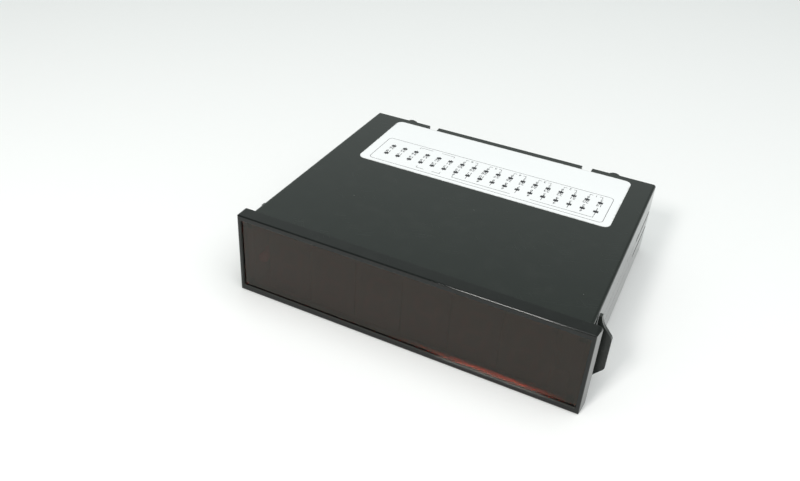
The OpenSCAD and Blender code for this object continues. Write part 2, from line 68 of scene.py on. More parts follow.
class Wire:
    """A shader value that Python's operators work on."""

    def __init__(self, graph: "Graph", socket: bpy.types.NodeSocket) -> None:
        """Wraps an output socket of a node in the graph."""
        self.graph = graph
        self.socket = socket

    def __add__(self, other: "Wire | float") -> "Wire":
        """Returns the sum."""
        return self.graph.maths("ADD", self, other)

    def __sub__(self, other: "Wire | float") -> "Wire":
        """Returns the difference."""
        return self.graph.maths("SUBTRACT", self, other)

    def __rsub__(self, other: float) -> "Wire":
        """Returns the difference from a number."""
        return self.graph.maths("SUBTRACT", other, self)

    def __mul__(self, other: "Wire | float") -> "Wire":
        """Returns the product."""
        return self.graph.maths("MULTIPLY", self, other)

    def __truediv__(self, other: "Wire | float") -> "Wire":
        """Returns the quotient."""
        return self.graph.maths("DIVIDE", self, other)

    def __rtruediv__(self, other: float) -> "Wire":
        """Returns a number divided by this value."""
        return self.graph.maths("DIVIDE", other, self)

    def __abs__(self) -> "Wire":
        """Returns the value without its sign."""
        return self.graph.maths("ABSOLUTE", self)

    def __gt__(self, other: "Wire | float") -> "Wire":
        """Returns 1 where this is greater, and 0 elsewhere."""
        return self.graph.maths("GREATER_THAN", self, other)

    def __lt__(self, other: "Wire | float") -> "Wire":
        """Returns 1 where this is less, and 0 elsewhere."""
        return self.graph.maths("LESS_THAN", self, other)

    __radd__ = __add__
    __rmul__ = __mul__

    def rise(self, low: float, high: float) -> "Wire":
        """Returns a smooth step.

        Args:
            low: The value at which the step starts.
            high: The value at which the step is complete; below low, the step falls.

        Returns:
            A value from 0 to 1.
        """
        settings = {"interpolation_type": "SMOOTHSTEP"}
        sockets = {"Value": self, "From Min": low, "From Max": high}
        return self.graph.out(self.graph.add("ShaderNodeMapRange", settings, sockets))


class Graph:
    """The nodes of one finish."""

    def __init__(self, name: str) -> None:
        """Starts a material that has only its output and the place on the piece.

        Args:
            name: The material's name.
        """
        material = bpy.data.materials.new(name)
        material.use_nodes = True
        self.tree = material.node_tree
        self.tree.nodes.clear()
        self.output = self.tree.nodes.new("ShaderNodeOutputMaterial")
        place = self.add("ShaderNodeTexCoord")
        in_mm = self.add("ShaderNodeVectorMath", {"operation": "SCALE"},
                         {0: self.out(place, "Object"), "Scale": 1 / MM})
        self.place = self.out(in_mm)
        parts = self.add("ShaderNodeSeparateXYZ", {}, {0: self.place})
        self.along = {axis: self.out(parts, axis.value) for axis in Axis}

    def add(self, kind: str, settings: Mapping[str, Any] | None = None,
            sockets: Mapping[str | int, Any] | None = None) -> bpy.types.Node:
        """Adds a node.

        Args:
            kind: The node's type.
            settings: Its settings, such as a Math node's operation, which are set first.
            sockets: Values or wires for its inputs, by name or by number.

        Returns:
            The new node.
        """
        node = self.tree.nodes.new(kind)
        for name, value in (settings or {}).items():
            setattr(node, name, value)
        for key, value in (sockets or {}).items():
            if isinstance(value, Wire):
                self.tree.links.new(value.socket, node.inputs[key])
            elif isinstance(value, tuple) and len(value) == 3 and node.inputs[key].type == "RGBA":
                node.inputs[key].default_value = (*value, 1.0)
            else:
                node.inputs[key].default_value = value
        return node

    def out(self, node: bpy.types.Node, key: str | int = 0) -> Wire:
        """Returns one of a node's outputs as a wire."""
        return Wire(self, node.outputs[key])

    def maths(self, operation: str, *values: Wire | float) -> Wire:
        """Returns the result of a Math node."""
        sockets = dict(enumerate(values))
        return self.out(self.add("ShaderNodeMath", {"operation": operation}, sockets))

    def blend(self, share: Wire | float, first: Wire | Colour, second: Wire | Colour) -> Wire:
        """Mixes two colours.

        Args:
            share: How much of the second shows, from 0 to 1.
            first: The colour where the share is 0.
            second: The colour where the share is 1.

        Returns:
            The mixed colour.
        """
        mix = self.add("ShaderNodeMix", {"data_type": "RGBA"}, {0: share, 6: first, 7: second})
        return self.out(mix, 2)

    def stretched(self, stretch: Place, turn: float = 0.0) -> Wire:
        """Stretches the place on the piece, so that a pattern read there runs one way.

        Args:
            stretch: The scale along each axis.
            turn: A turn about the vertical, made first.

        Returns:
            The place to read a pattern at.
        """
        settings = {"vector_type": "TEXTURE"}
        turned = self.add("ShaderNodeMapping", settings, {0: self.place, "Rotation": (0, 0, turn)})
        scaled = self.add("ShaderNodeVectorMath", {"operation": "MULTIPLY"},
                          {0: self.out(turned), 1: stretch})
        return self.out(scaled)

    def facing(self, axis: Axis) -> Wire:
        """Returns how squarely the surface faces along an axis, from 0 to 1."""
        normal = self.out(self.add("ShaderNodeNewGeometry"), "Normal")
        return abs(self.out(self.add("ShaderNodeSeparateXYZ", {}, {0: normal}), axis.value))

    def within(self, half: Span, fade: Span) -> Wire:
        """Marks what lies in a rectangle round the middle, seen from the front.

        Args:
            half: Half its width and half its height in millimetres.
            fade: The width of its soft edge at its sides, and above and below it.

        Returns:
            1 in the rectangle, and 0 outside it.
        """
        width, height = abs(self.along[Axis.ACROSS]), abs(self.along[Axis.UPWARD])
        return width.rise(half[0] + fade[0], half[0]) * height.rise(half[1] + fade[1], half[1])

    def stripes(self, along: Wire, pitch: float, width: float, fade: float = 0.05) -> Wire:
        """Draws straight stripes, one to each pitch. Lengths are in millimetres.

        Args:
            along: The place in the direction across the stripes.
            pitch: Their spacing.
            width: Their width.
            fade: The width of their soft edges.

        Returns:
            1 on a stripe, and 0 between them.
        """
        off_middle = abs(self.maths("FRACT", along / pitch) - 0.5) * pitch
        return off_middle.rise(width / 2 + fade, width / 2)

    def noise(self, grain: float, detail: float = 2.0, place: Wire | None = None) -> Wire:
        """Makes a soft cloud pattern.

        Args:
            grain: The size of its clouds in millimetres.
            detail: How many finer layers it has.
            place: Where it is read, if not at the plain place on the piece.

        Returns:
            A value round 0.5.
        """
        sockets = {"Vector": place or self.place, "Scale": 1 / grain, "Detail": detail}
        return self.out(self.add("ShaderNodeTexNoise", {}, sockets))

    def specks(self, spacing: float, radius: float, share: float) -> Wire:
        """Scatters small round specks. Lengths are in millimetres.

        Args:
            spacing: The mean distance between the places for a speck.
            radius: The radius of the largest speck.
            share: The share of the places that hold one.

        Returns:
            1 on a speck, and 0 elsewhere.
        """
        cells = self.add("ShaderNodeTexVoronoi", {}, {"Vector": self.place, "Scale": 1 / spacing})
        pick = self.out(self.add("ShaderNodeSeparateColor", {}, {0: self.out(cells, "Color")}))
        size = (1 - pick / share) * (radius / spacing)
        return self.out(cells, "Distance") < size

    def scratches(self, length: float, gap: float, turn: float, share: float) -> Wire:
        """Draws sparse hairline scratches that run one way. Lengths are in millimetres.

        Args:
            length: The length of a scratch.
            gap: The spacing of the hairlines.
            turn: Their direction, as a turn from the front edge.
            share: How much of the surface they reach, from 0 to 1.

        Returns:
            1 on a scratch, and 0 elsewhere.
        """
        lines = self.noise(1.0, 0.0, self.stretched((1 / length, 1 / gap, 1 / gap), turn))
        reach = self.noise(length, 1.0)
        bare = 0.62 - 0.2 * share
        return lines.rise(0.74, 0.8) * reach.rise(bare, bare + 0.04)

    def relief(self, height: Wire, depth: float, rounding: float = 0.0) -> Wire:
        """Turns a height into a surface normal.

        Args:
            height: The height, from 0 to 1.
            depth: What a height of 1 stands for, in millimetres.
            rounding: The radius that light sees along sharp edges, in millimetres.

        Returns:
            The normal.
        """
        sockets = {"Height": height, "Distance": depth * MM}
        if rounding > 0:
            bevel = self.add("ShaderNodeBevel", {"samples": 4}, {"Radius": rounding * MM})
            sockets["Normal"] = self.out(bevel)
        return self.out(self.add("ShaderNodeBump", {}, sockets))

    def surface(self, **sockets: Any) -> None:
        """Ends the graph in one Principled surface.

        Args:
            sockets: Its inputs, with an underscore for each space in their names.
        """
        named = {key.replace("_", " "): value for key, value in sockets.items()}
        shader = self.add("ShaderNodeBsdfPrincipled", {}, named)
        self.tree.links.new(shader.outputs[0], self.output.inputs["Surface"])


# ---- finishes


def toned(colour: Colour, share: float) -> Colour:
    """Returns a colour with that share of its light."""
    red, green, blue = colour
    return share * red, share * green, share * blue


@dataclass(frozen=True)
class Finish:
    """What every finish has: a name, and a way to paint itself."""

    name: str

    def paint(self, graph: Graph) -> None:
        """Fills the graph of the material."""
        raise NotImplementedError

    def material(self) -> bpy.types.Material:
        """Makes the material at its first use.

        Returns:
            The material.
        """
        if self.name not in bpy.data.materials:
            self.paint(Graph(self.name))
        return bpy.data.materials[self.name]


@dataclass(frozen=True)
class Zones:
    """Where the surface of the mouldings changes, in millimetres.

    Attributes:
        rim: How far back the bezel's front rim ends.
        seat: How far back the bezel ends.
        pocket: Half the width and half the height of the filter's pocket in the bezel.
        skin: Half the width and half the height under the case's outer faces.
        top: The height of the case's top face.
    """

    rim: float
    seat: float
    pocket: Span
    skin: Span
    top: float


@dataclass(frozen=True)
class MouldedPlastic(Finish):
    """Black moulded plastic: a fine texture, smoother ends, handling marks and dust, with painted
    shade darkening the bezel and painted light lifting the inner walls of the filter's pocket.

    Attributes:
        side_roughness: The roughness of the faces at its left and right ends.
        inner_roughness: What is added to the roughness inside the case.
        scratched: How much of it hairlines reach, from 0 to 1.
        edge_rounding: The radius that light sees along its edges, in millimetres.
        bezel_shade_tone: The share of the colour that the bezel keeps, a painted shade that darkens
            it.
    """

    zones: Zones
    colour: Colour = (0.008, 0.011, 0.009)
    mark_colour: Colour = (0.12, 0.13, 0.125)
    film_colour: Colour = (0.3, 0.3, 0.28)
    pocket_light_colour: Colour = (0.06, 0.064, 0.06)
    speck_colour: Colour = (0.3, 0.31, 0.29)
    roughness: float = 0.2
    side_roughness: float = 0.05
    rim_roughness: float = 0.08
    inner_roughness: float = 0.35
    texture_grain: float = 0.35
    texture_depth: float = 0.003
    rub: float = 0.3
    dust_and_pocket_light: float = 1.0
    scratched: float = 0.2
    edge_rounding: float = 0.12
    shine: float = 0.4
    bezel_shade_tone: float = 0.3

    def paint(self, graph: Graph) -> None:
        """Lays texture, hairlines, cloudy wear and dust over the base colour, darkens the bezel
        with painted shade and lightens the pocket's inner walls with painted light.

        Args:
            graph: The material's graph.
        """
        zones = self.zones
        _, rearward, upward = graph.along.values()
        body = rearward.rise(zones.rim - 0.2, zones.rim + 0.2)
        bezel = rearward.rise(zones.seat, zones.seat - 0.2)
        top = upward.rise(zones.top - 2.2, zones.top - 0.2)
        textured = graph.facing(Axis.ACROSS).rise(0.95, 0.8)
        # This mask marks the inner walls of the filter's pocket, which get painted light below.
        pocket = graph.within(zones.pocket, fade=(0.05, 0.05)) * (1 - body)
        pocket = pocket * graph.facing(Axis.REARWARD).rise(0.6, 0.4)
        inside = graph.within(zones.skin, fade=(0.2, 0.1)) * body

        texture = graph.noise(self.texture_grain)
        worn = graph.noise(22.0, detail=3.0).rise(0.4, 0.8) * self.rub
        hairlines = graph.scratches(length=9.0, gap=0.09, turn=0.35, share=self.scratched)
        crossing = graph.scratches(length=6.0, gap=0.08, turn=-0.9, share=self.scratched)
        marks = graph.maths("MAXIMUM", hairlines, crossing)
        specks = graph.specks(spacing=4.5, radius=0.11, share=0.45) * top * self.dust_and_pocket_light
        film = graph.noise(5.0, detail=4.0).rise(0.45, 0.8) * top * (0.1 * self.dust_and_pocket_light)

        colour = graph.blend(worn, self.colour, toned(self.colour, 1.25))
        # Painted shade: the bezel is darkened to a share of the base colour, so it reads darker
        # than the case.
        colour = graph.blend(bezel, colour, toned(self.colour, self.bezel_shade_tone))
        colour = graph.blend(marks * 0.12, colour, self.mark_colour)
        colour = graph.blend(film * 0.12, colour, self.film_colour)
        # Painted light: the pocket's inner walls are lightened towards grey, lifting the shade in
        # the recess round the filter; the dust setting scales it.
        colour = graph.blend(pocket * self.dust_and_pocket_light, colour, self.pocket_light_colour)
        colour = graph.blend(specks * 0.5, colour, self.speck_colour)

        level = body * (self.roughness - self.rim_roughness) + self.rim_roughness
        plain = textured * (level - self.side_roughness) + self.side_roughness
        wear = (worn * 0.05 + texture * 0.04 + film * 0.2) * body
        roughness = plain + wear * textured + marks * 0.1 + specks * 0.4
        relief = texture * textured - marks * 0.5
        graph.surface(Base_Color=colour, Roughness=roughness + inside * self.inner_roughness,
                      Specular_IOR_Level=self.shine,
                      Normal=graph.relief(relief, self.texture_depth, self.edge_rounding))


@dataclass(frozen=True)
class TintedFilter(Finish):
    """Clear acrylic, dyed a deep red-brown.

    Attributes:
        edge_roughness: What is added to the roughness on the sawn edges.
    """

    colour: Colour = (0.14, 0.018, 0.011)
    gloss_tint: Colour = (1.0, 1.0, 0.88)
    roughness: float = 0.02
    edge_roughness: float = 0.16
    refraction: float = 1.45

    def paint(self, graph: Graph) -> None:
        """Leaves the dye clear and lays a breath of haze and hairlines on the face.

        Args:
            graph: The material's graph.
        """
        hairlines = graph.scratches(length=7.0, gap=0.07, turn=0.2, share=0.35)
        haze = graph.noise(18.0, detail=3.0).rise(0.4, 0.8)
        specks = graph.specks(spacing=4.0, radius=0.07, share=0.4)
        edge = graph.facing(Axis.REARWARD).rise(0.6, 0.4)
        marked = haze * 0.02 + hairlines * 0.1 + specks * 0.4
        colour = graph.blend(haze * 0.2, self.colour, toned(self.colour, 0.85))
        graph.surface(Base_Color=colour, Transmission_Weight=1.0, IOR=self.refraction,
                      Roughness=marked + edge * self.edge_roughness + self.roughness,
                      Specular_Tint=self.gloss_tint,
                      Normal=graph.relief(haze * 0.4 + hairlines * 0.4, 0.002))


@dataclass(frozen=True)
class LabelFilm(Finish):
    """White satin film with a faint tone and some grey along its edges.

    Attributes:
        low: Its left and front edges in millimetres.
        high: Its right and rear edges in millimetres.
    """

    low: Span
    high: Span
    colour: Colour = (0.86, 0.87, 0.88)
    tone_colour: Colour = (0.83, 0.84, 0.85)
    grime_colour: Colour = (0.45, 0.45, 0.43)
    spot_colour: Colour = (0.5, 0.48, 0.44)
    grime_w: float = 0.6

    def paint(self, graph: Graph) -> None:
        """Greys the film towards its edges and gives it a few handling spots.

        Args:
            graph: The material's graph.
        """
        across, rearward, _ = graph.along.values()
        inside = graph.maths("MINIMUM", across - self.low[0], self.high[0] - across)
        inside = graph.maths("MINIMUM", inside, rearward - self.low[1])
        inside = graph.maths("MINIMUM", inside, self.high[1] - rearward)
        patches = graph.noise(1.6, detail=3.0).rise(0.35, 0.65)
        grime = inside.rise(self.grime_w, 0.0) * patches
        spots = graph.specks(spacing=5.0, radius=0.12, share=0.4)
        tone = graph.noise(14.0, detail=3.0)
        colour = graph.blend(tone.rise(0.3, 0.8) * 0.5, self.colour, self.tone_colour)
        colour = graph.blend(grime * 0.55, colour, self.grime_colour)
        colour = graph.blend(spots * 0.4, colour, self.spot_colour)
        fibre = graph.noise(0.25)
        graph.surface(Base_Color=colour, Roughness=tone * 0.12 + grime * 0.2 + 0.36,
                      Normal=graph.relief(fibre, 0.003), IOR=1.5)


@dataclass(frozen=True)
class PrintInk(Finish):
    """Thin printed ink, a little broken where it wore."""

    colour: Colour = (0.02, 0.02, 0.024)
    worn_colour: Colour = (0.45, 0.45, 0.46)

    def paint(self, graph: Graph) -> None:
        """Lets a little of the film show through the ink.

        Args:
            graph: The material's graph.
        """
        broken = graph.noise(0.3, detail=3.0).rise(0.62, 0.78)
        colour = graph.blend(broken * 0.25, self.colour, self.worn_colour)
        graph.surface(Base_Color=colour, Roughness=broken * 0.15 + 0.45)


@dataclass(frozen=True)
class BlackenedSteel(Finish):
    """Steel screws with a black chemical finish, bright where a driver rubbed."""

    colour: Colour = (0.03, 0.03, 0.032)
    bare_colour: Colour = (0.3, 0.29, 0.27)

    def paint(self, graph: Graph) -> None:
        """Wears the black away in small patches.

        Args:
            graph: The material's graph.
        """
        patches = graph.noise(0.7, detail=4.0)
        worn = patches.rise(0.62, 0.72)
        colour = graph.blend(worn * 0.6, self.colour, self.bare_colour)
        pits = graph.noise(0.2, detail=3.0)
        graph.surface(Base_Color=colour, Metallic=worn * 0.3 + 0.65, Roughness=patches * 0.25 + 0.2,
                      Normal=graph.relief(pits, 0.008, 0.1))


@dataclass(frozen=True)
class CircuitBoard(Finish):
    """Glass epoxy board with copper tracks under green solder mask.

    Attributes:
        contacts_y: How far back the tracks of the contacts begin, in millimetres.
        thickness: The board's thickness in millimetres, as all that follows.
    """

    contacts_y: float
    mask_colour: Colour = (0.02, 0.12, 0.05)
    track_colour: Colour = (0.045, 0.2, 0.075)
    weave_colour: Colour = (0.07, 0.2, 0.09)
    thickness: float = 1.6
    contact_pitch: float = 3.96
    contact_track: float = 1.1
    pitch: float = 2.54
    track: float = 0.5

    def paint(self, graph: Graph) -> None:
        """Draws tracks both ways, chosen area by area, over the glass weave.

        Args:
            graph: The material's graph.
        """
        across, rearward, upward = graph.along.values()
        wide = graph.stripes(across, self.contact_pitch, self.contact_track)
        lengthways = graph.stripes(across, self.pitch, self.track)
        sideways = graph.stripes(rearward, self.pitch, self.track)
        area = graph.noise(9.0, detail=0.0)
        fine = lengthways * area.rise(0.44, 0.46) + sideways * area.rise(0.54, 0.52)
        near_edge = rearward.rise(self.contacts_y, self.contacts_y + 1.0)
        tracks = wide * near_edge + graph.maths("MINIMUM", fine, 1.0) * (1 - near_edge)
        weave = graph.noise(0.4, 1.0, graph.stretched((1.0, 0.3, 1.0)))
        faces = abs(upward).rise(self.thickness / 2 - 0.005, self.thickness / 2)
        colour = graph.blend(tracks, self.mask_colour, self.track_colour)
        colour = graph.blend(weave.rise(0.3, 0.9) * 0.25, colour, self.weave_colour)
        graph.surface(Base_Color=colour, Roughness=weave * 0.15 + 0.22, IOR=1.5,
                      Normal=graph.relief(tracks * faces * 0.8 + weave * 0.1, 0.035))


@dataclass(frozen=True)
class GoldPlate(Finish):
    """Gold-plated contact fingers, wiped in the middle by a connector's springs.

    Attributes:
        wipe_y: How far back the wipe marks begin, in millimetres.
    """

    wipe_y: float
    colour: Colour = (0.83, 0.58, 0.2)
    tarnish_colour: Colour = (0.55, 0.33, 0.12)
    wiped_colour: Colour = (0.88, 0.7, 0.36)
    pitch: float = 3.96
    wipe_w: float = 0.5

    def paint(self, graph: Graph) -> None:
        """Draws the wipe marks along each finger.

        Args:
            graph: The material's graph.
        """
        middle = graph.stripes(graph.along[Axis.ACROSS], self.pitch, self.wipe_w, fade=0.2)
        wipe = middle * graph.along[Axis.REARWARD].rise(self.wipe_y, self.wipe_y + 1.5)
        grain = graph.noise(1.0, 2.0, graph.stretched((14.0, 0.7, 14.0)))
        tarnish = graph.noise(2.0, detail=3.0).rise(0.45, 0.75)
        colour = graph.blend(tarnish * 0.4, self.colour, self.tarnish_colour)
        colour = graph.blend(wipe * 0.5, colour, self.wiped_colour)
        graph.surface(Base_Color=colour, Metallic=1.0, Normal=graph.relief(grain, 0.004),
                      Roughness=grain * 0.2 + tarnish * 0.12 + 0.12)


@dataclass(frozen=True)
class DigitFace(Finish):
    """Dark grey display housing, matt on its face."""

    colour: Colour = (0.02, 0.018, 0.018)

    def paint(self, graph: Graph) -> None:
        """Gives the face an even fine grain.

        Args:
            graph: The material's graph.
        """
        grain = graph.noise(0.3)
        tone = graph.noise(6.0)
        colour = graph.blend(tone, self.colour, toned(self.colour, 0.7))
        graph.surface(Base_Color=colour, Roughness=grain * 0.2 + 0.45,
                      Normal=graph.relief(grain, 0.006, 0.1))


@dataclass(frozen=True)
class SegmentResin(Finish):
    """Milky red resin that fills the strokes of the figures."""

    colour: Colour = (0.16, 0.06, 0.05)

    def paint(self, graph: Graph) -> None:
        """Clouds the resin with its filler.

        Args:
            graph: The material's graph.
        """
        clouds = graph.noise(0.8, detail=4.0)
        colour = graph.blend(clouds, self.colour, toned(self.colour, 0.75))
        graph.surface(Base_Color=colour, Roughness=clouds * 0.15 + 0.25,
                      Normal=graph.relief(clouds, 0.004))


@dataclass(frozen=True)
class LeadedPart(Finish):
    """An electronic part: a body of resin, with tinned leads where the body ends.

    Attributes:
        axis: The direction in which the leads stand out of the body.
        body: Where the body begins and ends in that direction, in millimetres.
        band: Where a printed band begins and ends, in millimetres; None for no band.
        band_axis: The direction in which the band's place is counted.
    """

    axis: Axis
    body: Span
    resin: Colour = (0.02, 0.02, 0.022)
    resin_roughness: float = 0.45
    lead: Colour = (0.6, 0.6, 0.58)
    grain: float = 0.25
    clear_coat: float = 0.0
    band: Span | None = None
    band_axis: Axis = Axis.REARWARD
    band_colour: Colour = (0.6, 0.6, 0.6)

    def paint(self, graph: Graph) -> None:
        """Lays filler grain on the resin, an optional band, and tin on the leads.

        Args:
            graph: The material's graph.
        """
        start, end = self.body
        leads = abs(graph.along[self.axis] - (start + end) / 2) > (end - start) / 2 + NEAR
        grain = graph.noise(self.grain, detail=3.0)
        tone = graph.noise(4.0)
        tin = graph.noise(0.6, detail=4.0)
        resin = graph.blend(tone.rise(0.3, 0.8), self.resin, toned(self.resin, 1.3))
        if self.band:
            where = graph.along[self.band_axis]
            inside = (where > self.band[0]) * (where < self.band[1])
            resin = graph.blend(inside, resin, self.band_colour)
        metal = graph.blend(tin.rise(0.4, 0.8), self.lead, toned(self.lead, 0.6))
        roughness = (1 - leads) * (grain * 0.15 + self.resin_roughness) + leads * (tin * 0.3 + 0.15)
        graph.surface(Base_Color=graph.blend(leads, resin, metal), Metallic=leads,
                      Roughness=roughness, Coat_Weight=(1 - leads) * self.clear_coat,
                      Normal=graph.relief(grain * (1 - leads) + tin * 0.3, 0.006, 0.06))


@dataclass(frozen=True)
class StudioPaper(Finish):
    """The plain pale ground that the meter stands on."""

    colour: Colour = (0.9, 0.9, 0.9)

    def paint(self, graph: Graph) -> None:
        """Gives the paper an even tone with hardly any tooth.

        Args:
            graph: The material's graph.
        """
        tooth = graph.noise(3.0, detail=3.0)
        colour = graph.blend(tooth, self.colour, toned(self.colour, 0.99))
        graph.surface(Base_Color=colour, Roughness=tooth * 0.05 + 0.6, IOR=1.4)


# ---- modelling moves


class Bench:
    """The modelling moves that the new pieces share."""

    @staticmethod
    def clear() -> None:
        """Leaves edit mode and deselects everything."""
        if bpy.context.object and bpy.context.object.mode != "OBJECT":
            bpy.ops.object.mode_set(mode="OBJECT")
        bpy.ops.object.select_all(action="DESELECT")

    @staticmethod
    def hold(*pieces: bpy.types.Object) -> None:
        """Selects only these pieces.

        Args:
            pieces: The pieces, of which the first becomes the active one.
        """
        Bench.clear()
        for piece in pieces:
            piece.select_set(True)
        bpy.context.view_layer.objects.active = pieces[0]

    @staticmethod
    def flat(name: str, width: float, depth: float) -> bpy.types.Object:
        """Adds a flat sheet, in millimetres, centred on the origin, ready to be shaped.

        Args:
            name: The sheet's name.
            width: Its size across.
            depth: Its size from front to rear.

        Returns:
            The sheet.
        """
        Bench.clear()
        bpy.ops.mesh.primitive_plane_add(size=1.0)
        sheet = bpy.context.object
        sheet.name = name
        sheet.scale = (width * MM, depth * MM, 1.0)
        bpy.ops.object.transform_apply(location=False, rotation=False, scale=True)
        return sheet

    @staticmethod
    def pick(piece: bpy.types.Object, test: Callable[[Vector], bool]) -> None:
        """Selects the points that pass a test and enters edit mode.

        Args:
            piece: The piece to shape.
            test: Says of a place in millimetres whether its point is selected.
        """
        Bench.hold(piece)
        bpy.ops.object.mode_set(mode="EDIT")
        bpy.ops.mesh.select_mode(type="VERT")
        bpy.ops.mesh.select_all(action="DESELECT")
        bpy.ops.object.mode_set(mode="OBJECT")
        for point in piece.data.vertices:
            point.select = test(point.co / MM)
        bpy.ops.object.mode_set(mode="EDIT")

    @staticmethod
    def thicken(piece: bpy.types.Object, thickness: float) -> None:
        """Thickens a sheet upwards and closes it.

        Args:
            piece: The sheet.
            thickness: Its thickness in millimetres.
        """
        Bench.hold(piece)
        solid = piece.modifiers.new("thickness", "SOLIDIFY")
        solid.thickness = thickness * MM
        solid.offset = 1.0
        bpy.ops.object.modifier_apply(modifier=solid.name)

    @staticmethod
    def copies(piece: bpy.types.Object, places: Sequence[Matrix]) -> bpy.types.Object:
        """Repeats a piece and joins the copies into it.

        Args:
            piece: The piece, modelled at the origin.
            places: Where each copy goes, the first for the piece itself.

        Returns:
            The joined piece, its place in its mesh.
        """
        others = []
        for place in places[1:]:
            other = piece.copy()
            other.data = piece.data.copy()
            bpy.context.scene.collection.objects.link(other)
            other.data.transform(place)
            others.append(other)
        piece.data.transform(places[0])
        Bench.hold(piece, *others)
        if others:
            bpy.ops.object.join()
        return piece

    @staticmethod
    def settle(piece: bpy.types.Object, body: str, finish: Finish, slot: str) -> None:
        """Cleans a finished piece, dresses it and sets it riding.

        Args:
            piece: The finished piece.
            body: The body that it rides on.
            finish: Its finish.
            slot: Not used.
        """
        Bench.hold(piece)
        bpy.ops.object.mode_set(mode="EDIT")
        bpy.ops.mesh.select_all(action="SELECT")
        bpy.ops.mesh.remove_doubles(threshold=NEAR / 20 * MM)
        bpy.ops.mesh.normals_make_consistent(inside=False)
        bpy.ops.object.mode_set(mode="OBJECT")
        piece.data.materials.clear()
        piece.data.materials.append(finish.material())
        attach(piece, body)
        LOG.info("%s: %d faces, rides on %s", piece.name, len(piece.data.polygons), body)


def dress(node: str, finish: Finish) -> None:
    """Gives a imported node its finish.

    Args:
        node: The node's name.
        finish: Its finish.
    """
    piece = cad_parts[node]
    piece.data.materials.clear()
    piece.data.materials.append(finish.material())
    LOG.info("%s: dressed in %s", node, finish.name)


def shade_by_angle(node: str, degrees: float = 30.0) -> None:
    """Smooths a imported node's round faces and keeps its edges."""
    Bench.hold(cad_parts[node])
    bpy.ops.object.shade_smooth_by_angle(angle=math.radians(degrees))


def span_mm(node: str) -> tuple[Vector, Vector]:
    """Returns a node's lowest and highest corners in millimetres."""
    low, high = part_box(node)
    return low / MM, high / MM


def numbered(stem: str) -> list[str]:
    """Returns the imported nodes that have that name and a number, such as digit_1."""
    return [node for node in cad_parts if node.rstrip("0123456789") == f"{stem}_"]


# ---- sub-assemblies


@dataclass
class Housing:
    """The case with its bezel, its rear cover and screws, and the two clips.

    Attributes:
        pocket_room: From the filter's edge to just past the pocket's wall, in millimetres.
        way_middle: From a clip's inner face to the middle of its way's walls.
        skin_t: From the case's top face to where its inside begins.
    """

    pocket_room: float = 0.2
    way_middle: float = 0.57
    skin_t: float = 0.15

    def zones(self) -> Zones:
        """Finds where the mouldings' surface changes.

        Returns:
            The zones, worked out from the filter, the label and a clip.
        """
        filter_low, filter_high = span_mm("filter_window")
        clip_low, _ = span_mm("mounting_clip_right")
        label_low, _ = span_mm("label")
        pocket = (filter_high.x + self.pocket_room, filter_high.z + self.pocket_room)
        skin = (clip_low.x + self.way_middle, label_low.z - self.skin_t)
        return Zones(rim=filter_low.y, seat=0.0, pocket=pocket, skin=skin, top=label_low.z)

    def build(self) -> None:
        """Dresses the moulded pieces and the screws."""
        zones = self.zones()
        dress("case", MouldedPlastic("case_black", zones))
        dress("rear_cover", MouldedPlastic("cover_black", zones, colour=(0.015, 0.018, 0.016),
                                           roughness=0.3, dust_and_pocket_light=0.3, scratched=0.2))
        clip = MouldedPlastic("clip_black", zones, colour=(0.018, 0.021, 0.019), roughness=0.24,
                              side_roughness=0.08, texture_grain=0.5, dust_and_pocket_light=0.0, scratched=0.5)
        for side in ("left", "right"):
            dress(f"mounting_clip_{side}", clip)
        dress("cover_screws", BlackenedSteel("screw_black"))


@dataclass(frozen=True)
class Bracket:
    """A printed bracket from its first to its last column, open in its middle; in millimetres.

    Attributes:
        row: The row of its line.
        tick: The length of its two ticks, rearward if positive.
        gap: The width of the opening in its middle.
    """

    first: int
    last: int
    row: float
    tick: float
    gap: float


